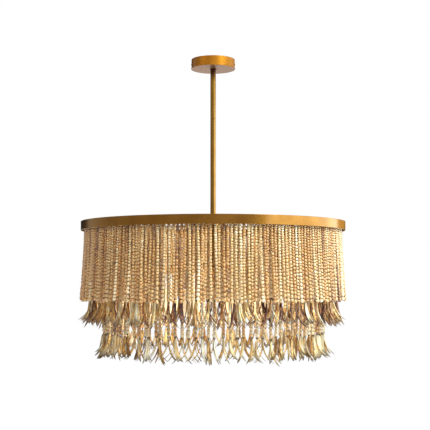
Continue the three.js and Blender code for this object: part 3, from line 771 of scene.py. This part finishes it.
def hang_slivers(name, node, material, places, size, seed):
    """Two slivers under each strand of a quarter, each split into two blades of that length and
    width. With u from 0 to 1 down a blade, its middle line starts upright and turns away from its
    partner by u ** 1.15 of its curl, which is CURL and a little more or less. It leaves the drum's
    axis by OUTWARD_LIFT times u squared, and the sliver's other blade by FAN times u ** 0.7, and
    its section twists evenly. Its width follows (1 - u) ** 0.42 * (u + 0.02) ** 0.3 and its
    thickness (1 - u) ** 0.35 * (u + 0.05) ** 0.12. The section is a flat oval bent hollow on the
    inner side."""
    random = np.random.default_rng(seed)
    strands = len(places["end"])
    count = strands * BLADES

    def differing(mean, spreads):
        """Values that differ from sliver to sliver, and a little between a sliver's blades."""
        slivers = np.repeat(random.normal(mean, spreads[0], (count // 2, 1)), 2, axis=0)
        return slivers + random.normal(0, spreads[1], (count, 1))

    turn = np.repeat(places["angle"] + places["heading"], BLADES, axis=0) + differing(0, TURN_SPREADS)
    length = size[0] * random.normal(1, LENGTH_SPREAD, (count, 1)).clip(*LENGTH_LIMITS)
    curl = (CURL * differing(1, CURL_SPREADS)).clip(*CURL_LIMITS)
    lift = OUTWARD_LIFT * random.normal(1, LIFT_SPREAD, (count, 1))
    start = random.normal(START_LEAN, START_SPREAD, (count, 1))
    twist = random.normal(0, TWIST_SPREAD, (count, 1))
    wide = size[1] * random.normal(WIDTH_MEAN, WIDTH_SPREAD, (count, 1)).clip(*WIDTH_LIMITS)
    tone = differing(BLADE_TONE, BLADE_TONE_SPREADS).clip(0, 1)
    side = np.tile([[1.0], [1.0], [-1.0], [-1.0]], (strands, 1))
    blade = np.tile([[1.0], [-1.0]], (strands * 2, 1))

    share = np.linspace(0, 1, BLADE_RINGS + 2)[None, :]
    lean = start + curl * share**1.15
    middle_lean = (lean[:, 1:] + lean[:, :-1]) / 2
    step = length / (BLADE_RINGS + 1)
    zero = np.zeros((count, 1))
    out = np.concatenate([zero, np.cumsum(np.sin(middle_lean) * step, axis=1)], axis=1)
    down = np.concatenate([zero, np.cumsum(np.cos(middle_lean) * step, axis=1)], axis=1)

    up = np.array([0, 0, 1])
    flat = level_vector(turn)
    away = side[..., None] * level_vector(turn + np.pi / 2)
    outward = level_vector(np.repeat(places["angle"], BLADES, axis=0))
    root = strand_points(places, places["end"]) - RING_RADIUS * up
    middle = (
        np.repeat(root, BLADES, axis=0)
        + away * (BLADE_START + out)[..., None]
        + outward * (lift * share**2)[..., None]
        + flat * (blade * FAN * share**0.7)[..., None]
        - up * down[..., None]
    )
    square = away * np.cos(lean)[..., None] + up * np.sin(lean)[..., None]
    angle = (twist * share)[..., None]
    across = (flat * np.cos(angle) + square * np.sin(angle))[:, :, None, :]
    normal = (square * np.cos(angle) - flat * np.sin(angle))[:, :, None, :]
    outline = (1 - share) ** 0.42 * (share + 0.02) ** 0.3
    half_width = wide / 2 * outline / WIDEST_OUTLINE_SHARE
    half_thick = BLADE_THICKNESS / 2 * (1 - share) ** 0.35 * (share + 0.05) ** 0.12
    half_thick = np.minimum(half_thick, half_width * THICKEST_SHARE)
    rim_turn = np.linspace(0, 2 * np.pi, BLADE_SIDES, endpoint=False)
    to_rim = half_width[..., None] * np.cos(rim_turn)
    hollow = 2 * BLADE_CAMBER * to_rim * np.cos(rim_turn)
    to_face = half_thick[..., None] * np.sin(rim_turn) - hollow
    rings = middle[:, :, None, :] + across * to_rim[..., None] + normal * to_face[..., None]
    body = rings[:, -2:0:-1].reshape(count, -1, 3)
    points = np.concatenate([middle[:, -1:], body, middle[:, :1]], axis=1)
    piece = new_piece(name, points, capped_faces(BLADE_RINGS, BLADE_SIDES, count), material)

    def spread(values, at_tip, at_root):
        """Values for each blade's points in their order: its tip, its rings and its root."""
        inner = np.broadcast_to(values, (count, BLADE_RINGS, BLADE_SIDES)).reshape(count, -1)
        ends = [np.broadcast_to(value, (count, 1)) for value in (at_tip, at_root)]
        return np.concatenate([ends[0], inner, ends[1]], axis=1)

    add_values(piece, "down", spread(share[:, -2:0:-1, None], 1, 0))
    add_values(piece, "rim", spread(np.abs(np.cos(rim_turn)), 1, 1))
    add_values(piece, "tone", spread(tone[..., None], tone, tone))
    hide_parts(node)


def husk_material(name, stops, tip, glow):
    """Husk under a thin clear polish: each sliver has its own tone, streaked along its length, darker
    at its point and along its rim, and it lets a share of glow of the light through."""
    material, tree, shader = new_material(name, stops[0][1], 0.42)
    streaks = noise(tree, scale=1, detail=4, stretch=(330, 330, 45))
    at_tip = ranged(tree, attribute(tree, "down"), (0.62, 0.97))
    at_rim = ranged(tree, attribute(tree, "rim"), (0.6, 1.0), (0, 0.6))
    dark = arithmetic(tree, "MAXIMUM", at_tip, at_rim)
    colour = mixed_colour(tree, dark, ramp(tree, own_tone(tree, streaks, 1.7), stops), tip)
    put_in(
        shader,
        {
            "Base Color": colour,
            "Normal": bumped(tree, streaks, strength=0.3, depth=0.0004),
            "Coat Weight": 0.2,
            "Coat Roughness": 0.2,
        },
    )
    through = add_node(tree, "BsdfTranslucent", {"Color": colour}).outputs["BSDF"]
    both = add_node(tree, "MixShader", {0: glow, 1: shader.outputs["BSDF"], 2: through})
    put_in(tree.nodes["Material Output"], {"Surface": both.outputs["Shader"]})
    return material


middle_husk = husk_material(
    "middle_husk",
    [
        (0.0, (0.05, 0.012, 0.003)),
        (0.20, (0.20, 0.045, 0.009)),
        (0.34, (0.54, 0.18, 0.022)),
        (0.44, (0.46, 0.25, 0.06)),
        (0.52, (0.90, 0.47, 0.07)),
        (0.63, (0.76, 0.50, 0.20)),
        (0.73, (0.98, 0.66, 0.16)),
        (0.85, (0.99, 0.79, 0.36)),
        (1.0, (0.99, 0.93, 0.68)),
    ],
    tip=(0.12, 0.05, 0.016),
    glow=0.12,
)
ring_wire = metal_material(
    "ring_wire", (0.08, 0.052, 0.028), (0.15, 0.105, 0.058), roughness=0.5, grain=(300, 300, 300), relief=0.1
)


def hang_fringe(ring, strands, radius, drop, beads, turn_spread, blade_size, material, seed, pale=0):
    """A whole ring of strands with slivers, in quarters, each with its carrier, cords and beads. A
    pair curls apart along the ring, or is turned from that by turn_spread times v ** 1.6, v being
    spread evenly from -1 to 1. The beads' tones are raised by pale."""
    places = strand_places(strands, radius, 0, drop, seed)
    places["tone"] += pale
    turned = np.random.default_rng(seed + 1).uniform(-1, 1, strands)
    places["heading"] = turn_spread * turned * np.abs(turned) ** 0.6
    for quarter in range(QUARTERS):
        number = quarter + 1
        node = f"{ring}_fringe_curtain_{number}"
        hung = quarter_places(places, quarter)
        hang_curtain(ring, node, quarter, hung, beads, FRINGE_BEAD_RADII, FRINGE_BEAD_FORM, seed + 10)
        hang_rings(f"{ring}_wire_rings_{number}", hung)
        hang_slivers(f"{ring}_slivers_{number}", node, material, hung, blade_size, seed + 20 + quarter)


hang_fringe(
    "middle",
    MIDDLE_STRANDS,
    MIDDLE_RADIUS,
    MIDDLE_DROP,
    MIDDLE_BEADS,
    MIDDLE_TURN_SPREAD,
    MIDDLE_BLADE,
    middle_husk,
    seed=31,
)

# Inner fringe curtain
# The third ring hangs lower and closer to the lamps. Its strands and slivers are made like the
# middle ring's, of paler wood and husk.
INNER_STRANDS = 108
INNER_RADIUS = 0.314
INNER_DROP = 0.315
INNER_BEADS = 38
INNER_TURN_SPREAD = 1.35
INNER_BLADE = (0.067, 0.0088)
INNER_PALENESS = 0.3
inner_husk = husk_material(
    "inner_husk",
    [
        (0.0, (0.32, 0.15, 0.05)),
        (0.18, (0.76, 0.45, 0.13)),
        (0.36, (0.98, 0.69, 0.20)),
        (0.52, (0.99, 0.86, 0.48)),
        (0.66, (0.88, 0.69, 0.42)),
        (0.80, (0.99, 0.89, 0.56)),
        (0.95, (0.99, 0.95, 0.78)),
    ],
    tip=(0.13, 0.083, 0.045),
    glow=0.38,
)
hang_fringe(
    "inner",
    INNER_STRANDS,
    INNER_RADIUS,
    INNER_DROP,
    INNER_BEADS,
    INNER_TURN_SPREAD,
    INNER_BLADE,
    inner_husk,
    seed=61,
    pale=INNER_PALENESS,
)

# Lamp column, body and finial
# A brass tube screwed into the hub carries a turned body, from which the lamp arms leave, and a
# small turned finial closes it below.
COLUMN_SIDES = 40
tube_piece("column_tube", "lamp_column", rod_brass, ROD_WALL, ROD_EDGE, COLUMN_SIDES)
BODY_NECK_RADIUS = 0.012
BODY_SHOULDER = 0.006
BODY_EASE = 0.004
BODY_SIDES = 72
body_low, body_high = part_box("lamp_body")
turned_piece(
    "lamp_body_turning",
    "lamp_body",
    band_brass,
    [
        (0, body_low[2]),
        (body_high[0] - BODY_SHOULDER, body_low[2]),
        (body_high[0], body_low[2] + BODY_SHOULDER),
        (body_high[0], body_high[2] - BODY_SHOULDER),
        (BODY_NECK_RADIUS, body_high[2]),
        (0, body_high[2]),
    ],
    BODY_EASE,
    BODY_SIDES,
    ring=False,
)
FINIAL_SHARES = ((0, 0), (0.55, 0.1), (1, 1), (0.45, 1.9))
FINIAL_COLLAR_SHARE = 0.33
FINIAL_GAP = 0.0003
FINIAL_SIDES = 48
finial_low, finial_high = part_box("finial")
finial_radius = finial_high[0]
finial_top = body_low[2] - FINIAL_GAP
turned_piece(
    "finial_turning",
    "finial",
    band_brass,
    [
        *[(finial_radius * out, finial_low[2] + finial_radius * up) for out, up in FINIAL_SHARES],
        (finial_radius, finial_top - finial_radius * FINIAL_COLLAR_SHARE),
        (finial_radius, finial_top),
        (0, finial_top),
    ],
    BODY_EASE,
    FINIAL_SIDES,
    ring=False,
)

# Lamp arms
# Six brass tubes, bent over once, that carry the sockets. Each is threaded into the body.
LAMPS = 6
LAMP_REACH = 0.130
LAMP_ARM_RADIUS = 0.005
LAMP_ARM_SIDES = 20
LAMP_ARM_BEND = 0.022
LAMP_ARM_FALL = 0.034
LAMP_ARM_SEAT = 0.0097
BEND_STEPS = 14
lamp_height = (body_low[2] + body_high[2]) / 2


def swept_tube(path, tangent, radius, sides):
    """A round tube along a path that stays in the X-Z plane, closed at both ends: at each point the
    section is spanned by the Y axis and by the normal to the path in its plane."""
    turn = np.linspace(0, 2 * np.pi, sides, endpoint=False)
    size = radius * np.concatenate([[0], np.ones(len(path) - 2), [0]])[:, None]
    in_plane = size * np.cos(turn)
    x = path[:, :1] - in_plane * tangent[:, 1:]
    z = path[:, 1:] + in_plane * tangent[:, :1]
    return np.stack([x, -size * np.sin(turn), z], axis=-1)


bend_turn = np.linspace(0, np.pi / 2, BEND_STEPS)
bend_centre = np.array([LAMP_REACH - LAMP_ARM_BEND, lamp_height - LAMP_ARM_BEND])
bend_path = bend_centre + LAMP_ARM_BEND * np.stack([np.sin(bend_turn), np.cos(bend_turn)], axis=-1)
bend_tangent = np.stack([np.cos(bend_turn), -np.sin(bend_turn)], axis=-1)
arm_start = [body_high[0] - LAMP_ARM_SEAT, lamp_height]
arm_stop = [LAMP_REACH, lamp_height - LAMP_ARM_FALL]
arm_path = np.concatenate([[arm_start, arm_start], bend_path, [arm_stop, arm_stop]])
arm_tangent = np.concatenate([[[1, 0], [1, 0]], bend_tangent, [[0, -1], [0, -1]]])
arm_tube = swept_tube(arm_path, arm_tangent, LAMP_ARM_RADIUS, LAMP_ARM_SIDES)
lamp_turns = np.arange(LAMPS) * 2 * np.pi / LAMPS
for number, turn in enumerate(lamp_turns, start=1):
    points = turned_by(arm_tube, turn)
    grid_piece(f"lamp_arm_tube_{number}", f"lamp_arm_{number}", band_brass, points, sharp_degrees=50)

# Lamp sockets
# Six plain cream sockets in a moulded shell, neck up, pushed on the ends of the arms. They are open
# below, where a ring lip grips the bulb's cap.
socket_plastic, socket_tree, socket_shader = new_material("socket_plastic", (0.8, 0.76, 0.68), 0.45)
socket_tones = [(0.3, (0.74, 0.69, 0.6)), (0.7, (0.83, 0.79, 0.71))]
socket_colour = ramp(socket_tree, noise(socket_tree, scale=900), socket_tones)
put_in(socket_shader, {"Base Color": socket_colour})
SOCKET_BORE = 0.0136
SOCKET_NECK_RADIUS = 0.009
SOCKET_NECK_BORE = 0.0053
SOCKET_SHOULDER = 0.009
SOCKET_FLOOR = 0.017
SOCKET_RADIUS = 0.017
SOCKET_LIP = 0.0008
SOCKET_LIP_HEIGHT = 0.003
SOCKET_EASE = 0.0012
SOCKET_SIDES = 48
socket_low, socket_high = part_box("lamp_socket_1")
socket_side = SOCKET_RADIUS - SOCKET_LIP
lamp_places = LAMP_REACH * level_vector(lamp_turns)
for number, place in enumerate(lamp_places, start=1):
    turned_piece(
        f"socket_shell_{number}",
        f"lamp_socket_{number}",
        socket_plastic,
        [
            (SOCKET_BORE, socket_low[2]),
            (SOCKET_RADIUS, socket_low[2]),
            (SOCKET_RADIUS, socket_low[2] + SOCKET_LIP_HEIGHT),
            (socket_side, socket_low[2] + SOCKET_LIP_HEIGHT + SOCKET_LIP),
            (socket_side, socket_high[2] - SOCKET_SHOULDER),
            (SOCKET_NECK_RADIUS, socket_high[2]),
            (SOCKET_NECK_BORE, socket_high[2]),
            (SOCKET_NECK_BORE, socket_high[2] - SOCKET_FLOOR),
            (SOCKET_BORE, socket_high[2] - SOCKET_FLOOR),
        ],
        SOCKET_EASE,
        SOCKET_SIDES,
        place=place,
    )

# Bulbs
# Six frosted glass globe bulbs with plated screw caps, lit warm. They are pushed up into the sockets
# and light the strands around them. The camera sees them softer than they shine.
BULB_SHINE = 15
BULB_SEEN = (0.55, 0.7)
glass, glass_tree, glass_shader = new_material("warm_frosted_glass", (0.62, 0.5, 0.34), 0.5)
glass_seen = ranged(glass_tree, noise(glass_tree, scale=60), result=BULB_SEEN)
glass_ray = add_node(glass_tree, "LightPath").outputs["Is Camera Ray"]
glass_glow = ranged(glass_tree, glass_ray, result=(BULB_SHINE, glass_seen))
put_in(glass_shader, {"Emission Color": (1.0, 0.72, 0.4, 1), "Emission Strength": glass_glow})
BULB_RADIUS = 0.030
BULB_NECK_RADIUS = 0.014
BULB_NECK_TAPER = 0.0008
BULB_CAP_RADIUS = 0.0133
BULB_CAP_LENGTH = 0.027
BULB_STEPS = 14
BULB_SIDES = 40
THREAD_TURNS = 5
THREAD_DEPTH = 0.0007
THREAD_STEPS = 60
CONTACT_RADIUS = 0.005
CONTACT_HEIGHT = 0.006
CONTACT_EASE = 0.001
bulb_low, bulb_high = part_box("bulb_1")
cap_low = bulb_high[2] - BULB_CAP_LENGTH
globe_centre = bulb_low[2] + BULB_RADIUS

# The glass is a half sphere below, and above it a neck that narrows by half a cosine wave and a
# slight taper. The cap's thread is a cosine wave up its side, one for each of its turns.
sphere_turn = np.linspace(0, np.pi / 2, BULB_STEPS)
globe = np.stack([np.sin(sphere_turn), -np.cos(sphere_turn)], axis=-1) * BULB_RADIUS + [0, globe_centre]
flank = np.linspace(0, 1, BULB_STEPS)[1:]
narrowing = (BULB_RADIUS - BULB_NECK_RADIUS) * (1 + np.cos(np.pi * flank)) / 2
neck_radius = BULB_NECK_RADIUS + narrowing - BULB_NECK_TAPER * flank
neck = np.stack([neck_radius, globe_centre + (cap_low - globe_centre) * flank], axis=-1)
bulb_profile = np.concatenate([globe, neck, [(0, cap_low)]])
climb = np.linspace(0, 1, THREAD_STEPS)
thread_radius = BULB_CAP_RADIUS - THREAD_DEPTH * (1 - np.cos(2 * np.pi * THREAD_TURNS * climb)) / 2
thread = np.stack([thread_radius, cap_low + (BULB_CAP_LENGTH - CONTACT_HEIGHT) * climb], axis=-1)
contact = [
    (CONTACT_RADIUS, bulb_high[2] - CONTACT_EASE),
    (CONTACT_RADIUS - CONTACT_EASE / 2, bulb_high[2]),
    (0, bulb_high[2]),
]
cap_profile = np.concatenate([[(0, cap_low)], thread, contact])
for number, place in enumerate(lamp_places, start=1):
    glass_points = turned_points(bulb_profile, BULB_SIDES) + place
    cap_points = turned_points(cap_profile, BULB_SIDES) + place
    grid_piece(f"bulb_glass_{number}", f"bulb_{number}", glass, glass_points, sharp_degrees=60)
    grid_piece(f"bulb_cap_{number}", f"bulb_{number}", zinc, cap_points, sharp_degrees=60)

# Studio
# A pale floor, see-through from below, and a surround that shows white to the camera. Metal mirrors
# a dark screen behind on the left and an amber drape behind on the right. Soft lights stand on the
# right, wide and high in front, and weaker and warmer on the left.
FLOOR_HEIGHT = -1.6
STUDIO_HALF = 12
SCREEN_SIDE = (-0.21, 0.978, 0)
SCREEN_EDGE = (0.8, 0.87)
SCREEN_LIGHT = 0.03
DRAPE_SIDE = (0.42, 0.907, 0)
DRAPE_EDGE = (0.88, 0.92)
DRAPE_TONE = (1.0, 0.56, 0.1)
LEFT_LIGHT = 0.75
RIGHT_LIGHT = 1.3
SURROUND_LIGHT = 0.1


def backdrop_material(name, albedo, glow):
    """Matt paint that adds a glow of its own for camera, glossy and transmission rays. Its back can
    be looked through."""
    material, tree, shader = new_material(name, (albedo, albedo, albedo), 0.9)
    put_in(shader, {"Specular IOR Level": 0})
    rays = add_node(tree, "LightPath").outputs
    direct = arithmetic(tree, "MAXIMUM", rays["Is Camera Ray"], rays["Is Glossy Ray"])
    direct = arithmetic(tree, "MAXIMUM", direct, rays["Is Transmission Ray"])
    strength = arithmetic(tree, "MULTIPLY", direct, glow)
    shine = add_node(tree, "Emission", {"Color": (1, 1, 1, 1), "Strength": strength})
    front = add_node(tree, "AddShader", {0: shader.outputs["BSDF"], 1: shine.outputs["Emission"]})
    back = add_node(tree, "BsdfTransparent").outputs["BSDF"]
    behind = add_node(tree, "NewGeometry").outputs["Backfacing"]
    sides = add_node(tree, "MixShader", {0: behind, 1: front.outputs["Shader"], 2: back})
    put_in(tree.nodes["Material Output"], {"Surface": sides.outputs["Shader"]})
    return material


floor_mesh = bpy.data.meshes.new("floor")
floor_corners = [(-1, -1), (1, -1), (1, 1), (-1, 1)]
floor_points = [(STUDIO_HALF * x, STUDIO_HALF * y, FLOOR_HEIGHT) for x, y in floor_corners]
floor_mesh.from_pydata(floor_points, [], [(0, 1, 2, 3)])
floor_mesh.materials.append(backdrop_material("floor_paint", albedo=0.8, glow=0.9))
floor = bpy.data.objects.new("floor", floor_mesh)
bpy.context.scene.collection.objects.link(floor)

world = bpy.data.worlds.new("studio")
bpy.context.scene.world = world
world.use_nodes = True
sky = world.node_tree
sky_place = add_node(sky, "TexCoord").outputs["Generated"]
sky_rays = add_node(sky, "LightPath").outputs


def facing(side):
    """How far a direction of the surround points to a side: the cosine of the angle between them."""
    inputs = {0: sky_place, 1: side}
    return add_node(sky, "VectorMath", inputs, operation="DOT_PRODUCT").outputs["Value"]


beside_screen = ranged(sky, facing(SCREEN_SIDE), SCREEN_EDGE, (1, SCREEN_LIGHT))
rightwards = ranged(sky, facing((1, 0, 0)), (-1, 1), (LEFT_LIGHT, RIGHT_LIGHT))
mirrored = arithmetic(sky, "MULTIPLY", beside_screen, rightwards)
unseen = ranged(sky, sky_rays["Is Glossy Ray"], result=(SURROUND_LIGHT, mirrored))
sky_strength = ranged(sky, sky_rays["Is Camera Ray"], result=(unseen, 1))
draped = ranged(sky, facing(DRAPE_SIDE), DRAPE_EDGE, (0, sky_rays["Is Glossy Ray"]))
sky_colour = mixed_colour(sky, draped, (1, 1, 1, 1), DRAPE_TONE)
put_in(sky.nodes["Background"], {"Strength": sky_strength, "Color": sky_colour})


def soft_light(name, place, target, size, power, colour=(1, 1, 1)):
    """A rectangular area light of that size, at place, that faces the target."""
    data = bpy.data.lights.new(name, "AREA")
    data.shape = "RECTANGLE"
    data.size, data.size_y = size
    data.energy = power
    data.color = colour
    light = bpy.data.objects.new(name, data)
    bpy.context.scene.collection.objects.link(light)
    light.location = place
    away = np.array(place) - np.array(target)
    flat = math.hypot(away[0], away[1])
    light.rotation_euler = (math.atan2(flat, away[2]), 0, math.atan2(away[0], -away[1]))


soft_light("right_softbox", (3.0, -0.26, -0.05), (0, 0, -0.4), (5.6, 1.1), 96, (0.83, 0.98, 1.1))
soft_light("right_key", (3.0, -2.6, 2.3), (0, 0, -0.6), (1.6, 1.6), 255, (0.82, 0.98, 1.17))
soft_light("front_softbox", (0.4, -3.8, 2.4), (0, 0, -0.6), (4.0, 2.4), 88)
soft_light("left_fill", (-3.4, -2.4, 2.2), (0, 0, -0.6), (1.8, 1.8), 44, (1.16, 0.94, 0.74))

bpy.context.scene.view_settings.view_transform = "Standard"
